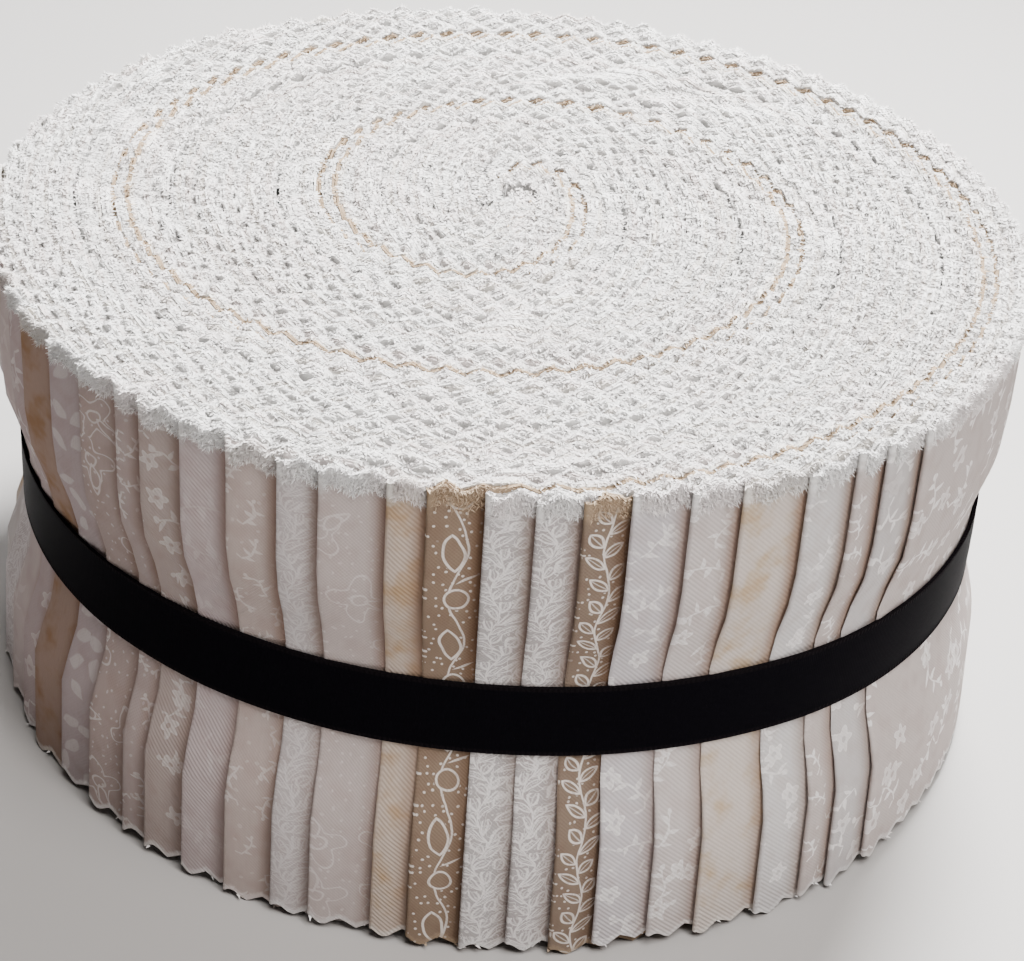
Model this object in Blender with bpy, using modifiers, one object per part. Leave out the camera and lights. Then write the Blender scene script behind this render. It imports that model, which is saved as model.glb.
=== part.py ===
"""A roll of pinked quilting strips, wound together and held by a flat satin ribbon.

The roll is one solid: forty strips, each folded in half, wound as one bundle round the
middle. Outside, each strip ends in a fold, one strip short of the next, so the side is a
ring of upright steps. The ribbon draws in a waist at mid height. Both rims are pinked, and
a groove on each end follows the turns of the bundle.

Metres, +Z up, the front at -Y, the origin at the middle of the underside.
"""
import math

import bmesh
import bpy
import numpy as np

MM = 0.001

COLLECTION = "quilting_strip_roll"
CUTTER_COLLECTION = "cutters"

# The wound bundle
STRIP_WIDTH = 63.5 * MM       # cut width of a strip, tooth tip to tooth tip
MEAN_RADIUS = 63.9 * MM       # the roll's outline under its rims, where the folds stand
OVAL = 0.8 * MM               # how far the outline is drawn out along its long diagonal
OVAL_AXIS = math.radians(45)
FLARE = 0.9 * MM              # the lower rim spreads by this much
STEP = 0.7 * MM               # a folded strip's thickness, the step from strip to strip
BULGE = 0.3 * MM              # how far a strip's face rounds out between its edges
FIRST_FOLD = math.radians(47)  # where the outermost strip ends, turned from the front
TURN_PITCH = 22.5 * MM        # the bundle's thickness, one turn to the next

# The pinked rims
TOOTH_SPACING = 1.95 * MM     # from a tooth's tip to the notch beside it
TOOTH_DEPTH = 1.3 * MM
RIM_WIDTH = 1.8 * MM          # how far in from the edge the rim's teeth run
TOP_PLANE = 63.8 * MM         # the mean height of the wound edges

# The waist and the ribbon
WAIST_HEIGHT = 31.8 * MM
WAIST_DEPTH = 2.6 * MM
WAIST_FADE = 13.0 * MM        # how far above and below the ribbon the side is drawn in
WAIST_STEP_SHARE = 0.3        # what the ribbon leaves of the steps under it
RIBBON_WIDTH = 9.4 * MM
RIBBON_THICKNESS = 1.0 * MM
RIBBON_GAP = 0.3 * MM
RIBBON_STATIONS = 132
LAP_START = math.radians(158)  # where the ribbon's outer end lies, at the back
LAP_ANGLE = math.radians(17)
LAP_RAMP = math.radians(12)   # over this turn the outer end climbs onto the inner one

# The grooves between the turns, on both ends
GROOVE_STATIONS = 96
GROOVE_START_RADIUS = 6.5 * MM
GROOVE_START = math.radians(-130)
GROOVE_TURNS = 2.4
GROOVE_WIDE = 1.1 * MM        # half width at the middle of the roll
GROOVE_NARROW = 0.55 * MM     # half width at the outer end

# One row for each strip, from the outermost one round to the innermost one, in
# millimetres: how much of it shows beside the next strip's fold, how far its lower edge
# stands off the ground, and how far its fold stands out past the outline. The first strip
# shows across all that the others leave of the round.
STRIP_COLUMNS = ("shows", "lift", "proud")
STRIP_ROWS = (
    (0.0, 0.9, 0.3),
    (6.3, 0.5, 0.1),
    (4.2, 0.8, 0.2),
    (6.5, 0.0, 0.1),
    (8.0, 0.6, 0.2),
    (5.8, 0.9, 0.0),
    (6.4, 1.1, 0.2),
    (5.0, 0.0, 0.0),
    (4.9, 0.7, 0.1),
    (5.3, 0.4, 0.1),
    (6.1, 0.6, 0.3),
    (4.3, 0.8, 0.0),
    (7.5, 0.7, 0.1),
    (4.9, 0.5, 0.0),
    (6.3, 0.1, 0.2),
    (6.2, 0.6, 0.1),
    (6.0, 0.7, 0.2),
    (4.0, 0.9, 0.0),
    (6.5, 1.0, 0.1),
    (6.9, 0.8, 0.2),
    (7.7, 0.2, 0.3),
    (5.2, 0.6, 0.0),
    (6.4, 0.9, 0.1),
    (8.3, 0.3, 0.2),
    (7.6, 0.7, 0.1),
    (9.1, 0.5, 0.0),
    (6.8, 1.2, 0.3),
    (8.4, 0.6, 0.1),
    (7.3, 0.4, 0.0),
    (9.4, 0.8, 0.2),
    (8.0, 0.1, 0.1),
    (6.6, 0.7, 0.2),
    (8.9, 0.9, 0.1),
    (9.6, 0.3, 0.0),
    (7.2, 0.6, 0.3),
    (8.5, 1.0, 0.1),
    (9.8, 0.5, 0.1),
    (7.9, 0.8, 0.0),
    (8.1, 0.4, 0.2),
    (9.0, 0.7, 0.5),
)

# Heights of the sections between the two rims, closer together round the waist
SIDE_HEIGHTS = tuple(z * MM for z in (2.4, 11.0, 20.5, 26.6, 37.0, 43.5, 53.5, 61.4))


def strips():
    """The strips' rows, each with the angle of its fold, falling from the front right."""
    rows = [dict(zip(STRIP_COLUMNS, (value * MM for value in row))) for row in STRIP_ROWS]
    angle = FIRST_FOLD
    for row in rows:
        angle -= row["shows"] / MEAN_RADIUS
        row["fold"] = angle
    rows[0]["shows"] = MEAN_RADIUS * (rows[-1]["fold"] + math.tau - FIRST_FOLD)
    return rows


def outline_radius(angle):
    """The outline's radius at an angle turned from the front: a circle, slightly oval."""
    return MEAN_RADIUS + OVAL * np.cos(2 * (angle - OVAL_AXIS))


def waist_share(height):
    """One under the ribbon, falling as a cosine to nothing at the end of the fade."""
    beyond = np.abs(height - WAIST_HEIGHT) - RIBBON_WIDTH / 2
    return 0.5 + 0.5 * np.cos(math.pi * np.clip(beyond / WAIST_FADE, 0, 1))


def outline_columns():
    """Columns round the side, one row each: angle, offset from the outline, lift, tooth.

    A strip's face runs from under the next strip's fold, one step in, to its own fold,
    and rounds out between the two.
    """
    columns = []
    tooth = 0
    for row in strips():
        count = max(2, round(row["shows"] / TOOTH_SPACING))
        turn = row["shows"] / MEAN_RADIUS
        for index in range(count + 1):
            share = index / count
            offset = row["proud"] * share - STEP * (1 - share)
            offset += BULGE * math.sin(math.pi * share)
            angle = row["fold"] + turn * (1 - share)
            columns.append((angle, offset, row["lift"], tooth % 2))
            tooth += 1
    return np.array(columns)


def section(columns, height, inset=0.0, step_share=1.0):
    """One closed section of the roll, at a height that may differ from column to column."""
    angle, offset = columns[:, 0], columns[:, 1]
    height = np.broadcast_to(height, angle.shape)
    waist = waist_share(height)
    share = step_share * (1 - waist * (1 - WAIST_STEP_SHARE))
    radius = outline_radius(angle) + offset * share - WAIST_DEPTH * waist - inset
    radius = radius + FLARE * np.clip(1 - height / WAIST_HEIGHT, 0, 1)
    return np.stack((radius * np.sin(angle), -radius * np.cos(angle), height), axis=1)


def roll_sections():
    """The roll's sections from the underside up, centred on the origin."""
    columns = outline_columns()
    lift, tooth = columns[:, 2], columns[:, 3]
    low_rim = lift + TOOTH_DEPTH * tooth
    high_rim = STRIP_WIDTH + lift - TOOTH_DEPTH * tooth
    sections = [section(columns, 0.0, inset=RIM_WIDTH, step_share=0.0)]
    sections.append(section(columns, low_rim))
    sections.extend(section(columns, height) for height in SIDE_HEIGHTS)
    sections.append(section(columns, high_rim))
    sections.append(section(columns, TOP_PLANE, inset=RIM_WIDTH, step_share=0.0))
    low = np.min([points[:, :2].min(axis=0) for points in sections], axis=0)
    high = np.max([points[:, :2].max(axis=0) for points in sections], axis=0)
    centre = np.append((low + high) / 2, 0.0)
    return [points - centre for points in sections], centre


def new_object(name, mesh, collection):
    """Links a new object for a mesh into a collection."""
    obj = bpy.data.objects.new(name, mesh)
    collection.objects.link(obj)
    return obj


def loft(name, sections, collection):
    """One closed solid through sections of equal point count, with a flat face each end."""
    mesh = bpy.data.meshes.new(name)
    bm = bmesh.new()
    rings = [[bm.verts.new(point) for point in points[::-1]] for points in sections]
    for low, high in zip(rings, rings[1:]):
        for index in range(len(low)):
            after = (index + 1) % len(low)
            bm.faces.new((low[index], low[after], high[after], high[index]))
    bm.faces.new(rings[0][::-1])
    bm.faces.new(rings[-1])
    bmesh.ops.recalc_face_normals(bm, faces=bm.faces)
    bm.to_mesh(mesh)
    bm.free()
    return new_object(name, mesh, collection)


def groove_cutter(name, height, centre, collection):
    """A square bar bent along the turns at one height, wide inside and narrow outside."""
    curve = bpy.data.curves.new(name, "CURVE")
    curve.dimensions = "3D"
    curve.twist_mode = "Z_UP"
    curve.bevel_depth = 1.0
    curve.bevel_resolution = 0
    curve.use_fill_caps = True
    spline = curve.splines.new("POLY")
    spline.points.add(GROOVE_STATIONS - 1)
    for index, point in enumerate(spline.points):
        share = index / (GROOVE_STATIONS - 1)
        turned = GROOVE_TURNS * math.tau * share
        angle = GROOVE_START - turned
        radius = GROOVE_START_RADIUS + TURN_PITCH * turned / math.tau
        x = radius * math.sin(angle) - centre[0]
        y = -radius * math.cos(angle) - centre[1]
        point.co = (x, y, height, 1.0)
        point.radius = GROOVE_WIDE + (GROOVE_NARROW - GROOVE_WIDE) * share
    guide = new_object(name + "_guide", curve, collection)
    bpy.context.view_layer.update()
    evaluated = guide.evaluated_get(bpy.context.evaluated_depsgraph_get())
    mesh = bpy.data.meshes.new_from_object(evaluated)
    bpy.data.objects.remove(guide)
    bm = bmesh.new()
    bm.from_mesh(mesh)
    bmesh.ops.remove_doubles(bm, verts=bm.verts, dist=1e-7)
    bmesh.ops.recalc_face_normals(bm, faces=bm.faces)
    bm.to_mesh(mesh)
    bm.free()
    cutter = new_object(name, mesh, collection)
    cutter.hide_render = True
    cutter.display_type = "WIRE"
    return cutter


def cut(target, cutter):
    """Takes a cutter's shape out of a solid."""
    modifier = target.modifiers.new("cut_" + cutter.name, "BOOLEAN")
    modifier.operation = "DIFFERENCE"
    modifier.solver = "EXACT"
    modifier.object = cutter


def principled(name, colour, roughness, sheen):
    """A Principled material with the piece's own finish."""
    material = bpy.data.materials.new(name)
    material.use_nodes = True
    shader = material.node_tree.nodes["Principled BSDF"]
    shader.inputs["Base Color"].default_value = (*colour, 1.0)
    shader.inputs["Roughness"].default_value = roughness
    shader.inputs["Metallic"].default_value = 0.0
    shader.inputs["Sheen Weight"].default_value = sheen
    return material


def cotton_material():
    """Undyed and pale printed cotton, matt."""
    return principled("pale_cotton", (0.70, 0.64, 0.59), 0.92, 0.2)


def satin_material():
    """Black satin, smooth and a little glossy."""
    return principled("black_satin", (0.006, 0.006, 0.009), 0.38, 0.0)


def make_roll(collection, cutters):
    """The wound bundle, with the grooves of its turns cut into both ends."""
    sections, centre = roll_sections()
    roll = loft("roll", sections, collection)
    for name, height in (("upper_groove", TOP_PLANE), ("lower_groove", 0.0)):
        cut(roll, groove_cutter(name, height, centre, cutters))
    roll.data.materials.append(cotton_material())
    return centre


def ribbon_point(share, centre):
    """A point on the ribbon's inner side: round the waist, the end lying on the start."""
    turned = share * (math.tau + LAP_ANGLE)
    angle = LAP_START - turned
    climb = np.clip((turned - (math.tau - LAP_RAMP)) / LAP_RAMP, 0, 1)
    radius = outline_radius(angle) - WAIST_DEPTH + RIBBON_GAP
    radius += WAIST_STEP_SHARE * max(row["proud"] for row in strips())
    radius += (RIBBON_THICKNESS + RIBBON_GAP) * climb
    return radius * math.sin(angle) - centre[0], -radius * math.cos(angle) - centre[1]


def make_ribbon(collection, centre):
    """The flat ribbon: an open band given its thickness outwards."""
    mesh = bpy.data.meshes.new("ribbon")
    bm = bmesh.new()
    low = WAIST_HEIGHT - RIBBON_WIDTH / 2
    edges = []
    for index in range(RIBBON_STATIONS):
        x, y = ribbon_point(index / (RIBBON_STATIONS - 1), centre)
        edges.append([bm.verts.new((x, y, low + rise)) for rise in (0.0, RIBBON_WIDTH)])
    for before, after in zip(edges, edges[1:]):
        bm.faces.new((before[0], before[1], after[1], after[0]))
    bm.to_mesh(mesh)
    bm.free()
    ribbon = new_object("ribbon", mesh, collection)
    solidify = ribbon.modifiers.new("thickness", "SOLIDIFY")
    solidify.thickness = RIBBON_THICKNESS
    solidify.offset = 1.0
    ribbon.data.materials.append(satin_material())


def main():
    for obj in list(bpy.data.objects):
        bpy.data.objects.remove(obj)
    collection = bpy.data.collections.new(COLLECTION)
    cutters = bpy.data.collections.new(CUTTER_COLLECTION)
    for made in (collection, cutters):
        bpy.context.scene.collection.children.link(made)
    centre = make_roll(collection, cutters)
    make_ribbon(collection, centre)


main()
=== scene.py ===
import math
import bpy
import numpy as np
from mathutils import Matrix, Vector

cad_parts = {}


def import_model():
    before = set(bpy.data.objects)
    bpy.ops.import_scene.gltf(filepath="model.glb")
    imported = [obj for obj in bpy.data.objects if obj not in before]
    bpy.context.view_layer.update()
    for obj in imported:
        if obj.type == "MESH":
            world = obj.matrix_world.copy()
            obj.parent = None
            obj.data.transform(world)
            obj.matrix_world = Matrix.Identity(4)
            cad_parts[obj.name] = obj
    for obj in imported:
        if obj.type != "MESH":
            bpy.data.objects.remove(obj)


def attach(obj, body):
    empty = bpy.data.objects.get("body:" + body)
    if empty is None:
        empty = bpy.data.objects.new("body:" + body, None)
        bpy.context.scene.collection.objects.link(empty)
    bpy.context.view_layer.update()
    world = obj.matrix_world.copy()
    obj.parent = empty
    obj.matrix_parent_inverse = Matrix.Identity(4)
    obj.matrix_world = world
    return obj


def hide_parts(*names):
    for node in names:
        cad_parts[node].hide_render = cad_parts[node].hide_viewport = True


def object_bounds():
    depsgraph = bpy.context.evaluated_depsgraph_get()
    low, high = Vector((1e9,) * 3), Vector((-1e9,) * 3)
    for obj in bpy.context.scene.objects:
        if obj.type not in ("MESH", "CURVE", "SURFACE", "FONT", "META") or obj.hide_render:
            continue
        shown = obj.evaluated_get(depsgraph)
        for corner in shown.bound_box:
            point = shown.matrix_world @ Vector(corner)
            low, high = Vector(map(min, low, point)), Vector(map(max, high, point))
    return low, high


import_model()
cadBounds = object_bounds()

mm = 0.001

# The wound bundle, in millimetres; angles in degrees are turned from the front to the right
rollSettings = {
    "stripWidth": 63.5,       # tooth tip to tooth tip
    "radius": 63.9, "oval": 0.8, "ovalAxis": 45.0, "flare": 0.9,
    "ply": 0.281,             # one thickness of cloth, with the air beside it
    "cloth": 0.20,            # the cloth alone
    "firstFold": 47.0,        # where the outermost strip ends
    "seamGap": 0.35,          # slack between one turn of the bundle and the next
    "looseGap": 0.30,         # slack inside the bundle, after looseStrip
    "looseStrip": 19,
    "startRadius": 0.9,       # where the cut ends begin, round the middle
    # how far the inner and outer ply puff out at a fold, over what lengths
    "puffs": (0.20, 0.46), "puffLengths": (1.5, 4.2), "bulge": 0.14,
    "waistHeight": 32.0, "waistDip": 1.9, "waistDepth": 2.05, "waistFade": 13.0,
    "waistPress": 0.55, "pressFrom": 0.75, "ribbonWidth": 9.4,
    "toothPitch": 3.9, "toothDepth": 1.25, "wornDepth": 1.0, "crown": 0.35,
    "openBack": 42.0,         # how far behind its visible part a strip keeps its full section
    "waistStrips": 7, "waistReach": 0.85,   # the outer strips keep it past the last fold, in radians
    "rows": (2.6, 14.5, 19.0, 23.0, 27.0, 37.0, 41.0, 45.0, 49.5, 61.0),   # heights of the points
    "outerBeyond": 3.2,       # how far the ideal spiral goes past the outline before it is pressed
    "outlineBlur": 0.12,      # radians
    "rowChance": 0.45, "rowJumps": (0.15, 0.85), "jitter": 0.15,   # rows of teeth
    "topFollow": 0.3, "topRise": 0.10,                             # cut edges at the top
    "wornThick": 0.045, "wornFrom": 62.0,
    "rowDrift": 0.16, "tipDrift": 0.10, "lean": 0.10, "startSpread": 1.2,
    "dipFade": (9, 17),       # how far from the waist the rows of points stop following its dip
    # its middle: how far two changes reach, and by how much they squeeze, skew, stretch and shift it
    "nearReach": 19.0, "wideReach": 34.0,
    "squeeze": 0.42, "skew": 0.22, "stretch": 0.30, "shiftX": -1.5, "shiftY": 4.5,
}

# One row for each strip, outermost first: how much shows beside the next fold, the lift of its
# lower edge, its print, its ground colour and the colour of its cut edges
stripRows = (
    (0.0, 0.9, "sprigs", (0.655, 0.61, 0.595), "white"),
    (6.3, 0.5, "sprigs", (0.67, 0.65, 0.65), "white"),
    (4.2, 0.8, "buds", (0.66, 0.615, 0.60), "white"),
    (6.5, 0.0, "blossoms", (0.73, 0.715, 0.715), "white"),
    (8.0, 0.6, "marbled", (0.725, 0.675, 0.64), "cream"),
    (5.8, 0.9, "blossoms", (0.71, 0.67, 0.66), "white"),
    (6.4, 1.1, "blossoms", (0.71, 0.685, 0.70), "white"),
    (5.0, 0.0, "leafyTan", (0.40, 0.335, 0.285), "tan"),
    (4.9, 0.7, "ferns", (0.60, 0.575, 0.575), "white"),
    (5.3, 0.4, "ferns", (0.61, 0.59, 0.59), "white"),
    (6.1, 0.6, "bigTan", (0.42, 0.345, 0.285), "tan"),
    (4.3, 0.8, "marbled", (0.66, 0.585, 0.53), "cream"),
    # strips 13 to 22 lie on the left, away from the light: their ground colours are the cloth's own,
    # darkened further with painted shade
    (7.5, 0.7, "outlines", (0.655, 0.60, 0.585), "white"),
    (4.9, 0.5, "ferns", (0.64, 0.605, 0.605), "white"),
    (6.3, 0.1, "buds", (0.62, 0.555, 0.53), "pink"),
    (6.2, 0.6, "plain", (0.62, 0.56, 0.56), "white"),
    (6.0, 0.7, "blossoms", (0.55, 0.49, 0.47), "white"),
    (4.0, 0.9, "buds", (0.55, 0.49, 0.475), "white"),
    (6.5, 1.0, "outlines", (0.53, 0.465, 0.445), "white"),
    (6.9, 0.8, "ovals", (0.545, 0.49, 0.49), "white"),
    (7.7, 0.2, "marbled", (0.48, 0.39, 0.345), "cream"),
    (5.2, 0.6, "sprigs", (0.58, 0.515, 0.51), "white"),
    (6.4, 0.9, "plain", (0.63, 0.57, 0.56), "pink"),
    (8.3, 0.3, "ferns", (0.64, 0.60, 0.60), "white"),
    (7.6, 0.7, "blossoms", (0.69, 0.66, 0.65), "white"),
    (9.1, 0.5, "marbled", (0.70, 0.64, 0.59), "cream"),
    (6.8, 1.2, "sprigs", (0.68, 0.63, 0.61), "white"),
    (8.4, 0.6, "outlines", (0.69, 0.64, 0.62), "white"),
    (7.3, 0.4, "buds", (0.70, 0.68, 0.68), "white"),
    (9.4, 0.8, "ferns", (0.62, 0.59, 0.585), "white"),
    (8.0, 0.1, "plain", (0.70, 0.65, 0.62), "pink"),
    (6.6, 0.7, "sprigs", (0.71, 0.69, 0.69), "white"),
    (8.9, 0.9, "ovals", (0.67, 0.62, 0.61), "white"),
    (9.6, 0.3, "blossoms", (0.71, 0.67, 0.65), "white"),
    (7.2, 0.6, "marbled", (0.69, 0.64, 0.60), "cream"),
    (8.5, 1.0, "outlines", (0.67, 0.61, 0.60), "white"),
    (9.8, 0.5, "ferns", (0.63, 0.60, 0.60), "white"),
    (7.9, 0.8, "sprigs", (0.69, 0.65, 0.64), "white"),
    (8.1, 0.4, "buds", (0.66, 0.60, 0.58), "pink"),
    (9.0, 0.7, "plain", (0.70, 0.66, 0.65), "white"),
)
edgeColours = {
    "white": (0.80, 0.795, 0.785), "pink": (0.78, 0.72, 0.705),
    "cream": (0.78, 0.75, 0.70), "tan": (0.36, 0.27, 0.185),
}


# Numbers shared by all the strips

def smoothStep(low, high, value):
    # 3t^2 - 2t^3 of the share t of the way from low to high
    t = np.clip((value - low) / (high - low), 0, 1)
    return t * t * (3 - 2 * t)


def wobble(place, spacing, seed):
    # random heights every spacing along a line, joined by smooth steps
    heights = np.random.default_rng(seed).uniform(-1, 1, 4096)
    cell = np.floor(place / spacing)
    index = cell.astype(int) % 4095
    t = place / spacing - cell
    t = t * t * (3 - 2 * t)
    return heights[index] * (1 - t) + heights[index + 1] * t


def patches(x, y, spacing, seed):
    # random numbers on a square grid, joined by smooth steps
    grid = np.random.default_rng(seed).random((257, 257))
    column, row = (x / spacing) % 256, (y / spacing) % 256
    i, j = column.astype(int), row.astype(int)
    u, v = smoothStep(0, 1, column - i), smoothStep(0, 1, row - j)
    near = grid[i, j] * (1 - v) + grid[i, j + 1] * v
    return near * (1 - u) + (grid[i + 1, j] * (1 - v) + grid[i + 1, j + 1] * v) * u


def outlineRadius(angle):
    # a circle drawn out a little along one diagonal: R + a cos 2(angle - axis)
    r = rollSettings
    return r["radius"] + r["oval"] * np.cos(2 * (angle - math.radians(r["ovalAxis"])))


def waistLevel(angle):
    # the ribbon's height round the roll: it dips at both sides
    return rollSettings["waistHeight"] - rollSettings["waistDip"] * np.sin(angle) ** 2


def waistShare(angle, height):
    # one under the ribbon, falling as a half cosine over the fade
    r = rollSettings
    beyond = np.abs(height - waistLevel(angle)) - r["ribbonWidth"] / 2
    return 0.5 + 0.5 * np.cos(math.pi * np.clip(beyond / r["waistFade"], 0, 1))


def planWinding():
    # the fold angles, each strip's place in the bundle, and the spiral that winds them
    r = rollSettings
    count = len(stripRows)
    folds = math.radians(r["firstFold"]) - np.cumsum([row[0] for row in stripRows]) / r["radius"]
    number = np.arange(count)
    inner = (count - 1 - number) * 2 * r["ply"] + np.where(number < r["looseStrip"], r["looseGap"], 0)
    thickness = count * 2 * r["ply"] + r["looseGap"] + r["seamGap"]
    pitch = thickness / math.tau
    turned = (r["radius"] + r["outerBeyond"] - thickness) / pitch   # to the outermost fold
    plan = {"folds": folds, "inner": inner, "pitch": pitch, "start": folds[0] + turned}
    # the teeth stand in rows of some strips, each row in step and crowned, set off from the next
    own = np.random.default_rng(61)
    half = (number >= r["looseStrip"]).astype(int)
    plan["middle"] = np.array([inner[half == h].mean() for h in half]) + r["ply"]
    row = np.cumsum((own.random(count) < r["rowChance"]) | (np.diff(half, prepend=0) > 0))
    plan["row"] = row
    plan["rowMiddle"] = np.array([inner[row == k].mean() for k in row]) + r["ply"]
    plan["rowHalf"] = np.array([(row == k).sum() for k in row]) * r["ply"]
    jumps = own.uniform(*r["rowJumps"], count) * r["toothPitch"] * (np.diff(row, prepend=0) > 0)
    plan["phase"] = np.cumsum(jumps) + own.normal(0, r["jitter"], count)
    # the ideal spiral's outside, angle by angle, then blurred round the circle
    grid = np.linspace(0, math.tau, 1440, endpoint=False)
    angle = folds[-1] + (grid - folds[-1]) % math.tau
    strip = (angle[:, None] < folds[None, :]).sum(axis=1)
    outside = pitch * (plan["start"] - angle) + inner[strip] + 2 * r["ply"]
    kernel = np.exp(-0.5 * ((grid - math.pi) / r["outlineBlur"]) ** 2)
    kernel /= kernel.sum()
    kernel = np.roll(kernel, -len(grid) // 2)
    blurred = np.fft.irfft(np.fft.rfft(outside) * np.fft.rfft(kernel), len(grid))
    plan["grid"], plan["outside"] = grid, blurred
    return plan


def windPlaces(plan, turned, offset):
    # an ideal spiral pitch * turned + offset, pressed to the roll's outline, its middle drawn long
    r = rollSettings
    radius = np.maximum(plan["pitch"] * turned + offset, 0.3)
    angle = plan["start"] - turned
    outside = np.interp(angle % math.tau, plan["grid"], plan["outside"], period=math.tau)
    radius = radius * (1 + (outlineRadius(angle) / outside - 1) * np.minimum(radius / outside, 1))
    x, y = radius * np.sin(angle), -radius * np.cos(angle)
    near = np.exp(-(radius / r["nearReach"]) ** 2)
    wide = np.exp(-(radius / r["wideReach"]) ** 2)
    return (x * (1 - r["squeeze"] * near) + r["skew"] * y * near + r["shiftX"] * wide,
            y * (1 + r["stretch"] * near) + r["shiftY"] * wide)


def toothHeight(place):
    # a rounded triangle wave: 1 at a tooth's tip, 0 in the notch
    share = np.abs((place / rollSettings["toothPitch"]) % 1 - 0.5) * 2
    return 0.12 + 0.88 * share - 0.10 * np.sin(math.tau * share)


# Mesh making

def makeMesh(name, points, blocks, maps=None, values=None, sharp=70, slots=None):
    # blocks are arrays of faces of one corner count each; points are in millimetres
    mesh = bpy.data.meshes.new(name)
    corners = np.concatenate([block.ravel() for block in blocks])
    sizes = np.concatenate([np.full(len(block), block.shape[1]) for block in blocks])
    mesh.vertices.add(len(points))
    mesh.vertices.foreach_set("co", (points * mm).astype(np.float32).ravel())
    mesh.loops.add(len(corners))
    mesh.loops.foreach_set("vertex_index", corners.astype(np.int32))
    mesh.polygons.add(len(sizes))
    starts = np.concatenate(([0], np.cumsum(sizes)[:-1]))
    mesh.polygons.foreach_set("loop_start", starts.astype(np.int32))
    if slots is not None:
        mesh.polygons.foreach_set("material_index", slots.astype(np.int32))
    mesh.update(calc_edges=True)
    mesh.validate(clean_customdata=False)
    for mapName, places in (maps or {}).items():
        layer = mesh.uv_layers.new(name=mapName)
        layer.uv.foreach_set("vector", places.astype(np.float32).ravel())
    for valueName, numbers in (values or {}).items():
        layer = mesh.attributes.new(valueName, "FLOAT", "POINT")
        layer.data.foreach_set("value", numbers.astype(np.float32))
    mesh.shade_smooth()
    if sharp:
        mesh.set_sharp_from_angle(angle=math.radians(sharp))
    piece = bpy.data.objects.new(name, mesh)
    bpy.context.scene.collection.objects.link(piece)
    return piece


def gridFaces(table):
    # quads between the neighbouring entries of a table of point numbers
    return np.stack((table[:-1, :-1], table[1:, :-1], table[1:, 1:], table[:-1, 1:]), -1).reshape(-1, 4)


# Materials

class Number:
    # a socket that takes part in arithmetic; each operator adds one Math node
    def __init__(self, kit, socket):
        self.kit, self.socket = kit, socket

    def maths(self, operation, *others):
        node = self.kit.node("Math", {"operation": operation}, [self, *others])
        return Number(self.kit, node.outputs[0])

    def __add__(self, other): return self.maths("ADD", other)
    def __radd__(self, other): return self.maths("ADD", other)
    def __mul__(self, other): return self.maths("MULTIPLY", other)
    def __rmul__(self, other): return self.maths("MULTIPLY", other)
    def __sub__(self, other): return self.maths("SUBTRACT", other)
    def __rsub__(self, other): return self.maths("MULTIPLY", -1.0).maths("ADD", other)
    def __truediv__(self, other): return self.maths("DIVIDE", other)
    def __mod__(self, other): return self.maths("FLOORED_MODULO", other)
    def __abs__(self): return self.maths("ABSOLUTE")
    def __or__(self, other): return self.maths("MAXIMUM", other)


class Finish:
    # one material's nodes, ending in a Principled shader
    def __init__(self, name, **constants):
        self.material = bpy.data.materials.new(name)
        self.material.use_nodes = True
        self.tree = self.material.node_tree
        self.shader = self.tree.nodes["Principled BSDF"]
        for socket, value in constants.items():
            self.shader.inputs[socket.replace("_", " ")].default_value = value

    def node(self, kind, settings=None, sockets=None):
        made = self.tree.nodes.new("ShaderNode" + kind)
        for key, value in (settings or {}).items():
            setattr(made, key, value)
        given = sockets.items() if isinstance(sockets, dict) else enumerate(sockets or ())
        for key, value in given:
            self.feed(made.inputs[key], value)
        return made

    def feed(self, socket, value):
        if isinstance(value, Number):
            self.tree.links.new(value.socket, socket)
        elif isinstance(value, bpy.types.NodeSocket):
            self.tree.links.new(value, socket)
        else:
            socket.default_value = value

    def split(self, vector):
        parts = self.node("SeparateXYZ", sockets=[vector]).outputs
        return [Number(self, parts[i]) for i in range(3)]

    def join(self, x, y, z=0.0):
        return self.node("CombineXYZ", sockets=[x, y, z]).outputs[0]

    def mix(self, share, first, second):
        made = self.node("Mix", {"data_type": "RGBA"}, {0: share})
        for socket, value in ((made.inputs[6], first), (made.inputs[7], second)):
            self.feed(socket, (*value, 1.0) if isinstance(value, tuple) else value)
        return made.outputs[2]

    def attribute(self, name):
        return Number(self, self.node("Attribute", {"attribute_name": name}).outputs["Fac"])

    def noise(self, place, scale, detail=2.0, roughness=0.5):
        made = self.node("TexNoise", None, {"Vector": place, "Scale": scale, "Detail": detail,
                                            "Roughness": roughness})
        return Number(self, made.outputs["Fac"])

    def step(self, low, high, value):
        # smooth share of the way from low to high
        made = self.node("MapRange", {"interpolation_type": "SMOOTHSTEP"}, [value, low, high, 0.0, 1.0])
        return Number(self, made.outputs[0])

    def bump(self, height, strength, distance):
        sockets = {"Height": height, "Strength": strength, "Distance": distance}
        return self.node("Bump", None, sockets).outputs[0]

    def surface(self, colour, roughness, normal=None):
        # feeds what changes over the surface and hands over the finished material
        given = {"Base Color": colour, "Roughness": roughness, "Normal": normal}
        for name, value in given.items():
            if value is not None:
                self.feed(self.shader.inputs[name], value)
        return self.material


# Print shapes work on places in millimetres: s from the fold along the strip, z up it.
# first | second is the larger of two inks.

def inkLine(kit, distance, halfWidth):
    # one on the line, nothing a little beside it
    return kit.step(halfWidth + 0.05, halfWidth - 0.05, abs(distance))


def length(x, y):
    return (x * x + y * y).maths("SQRT")


def leafDistance(x, y, long, wide):
    # two circles of one radius crossing in the leaf's points: the larger distance to their rims
    radius = (long * long / 4 + wide * wide / 4) / wide
    shift = radius - wide / 2
    return length(x, abs(y) + shift) - radius


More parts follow.
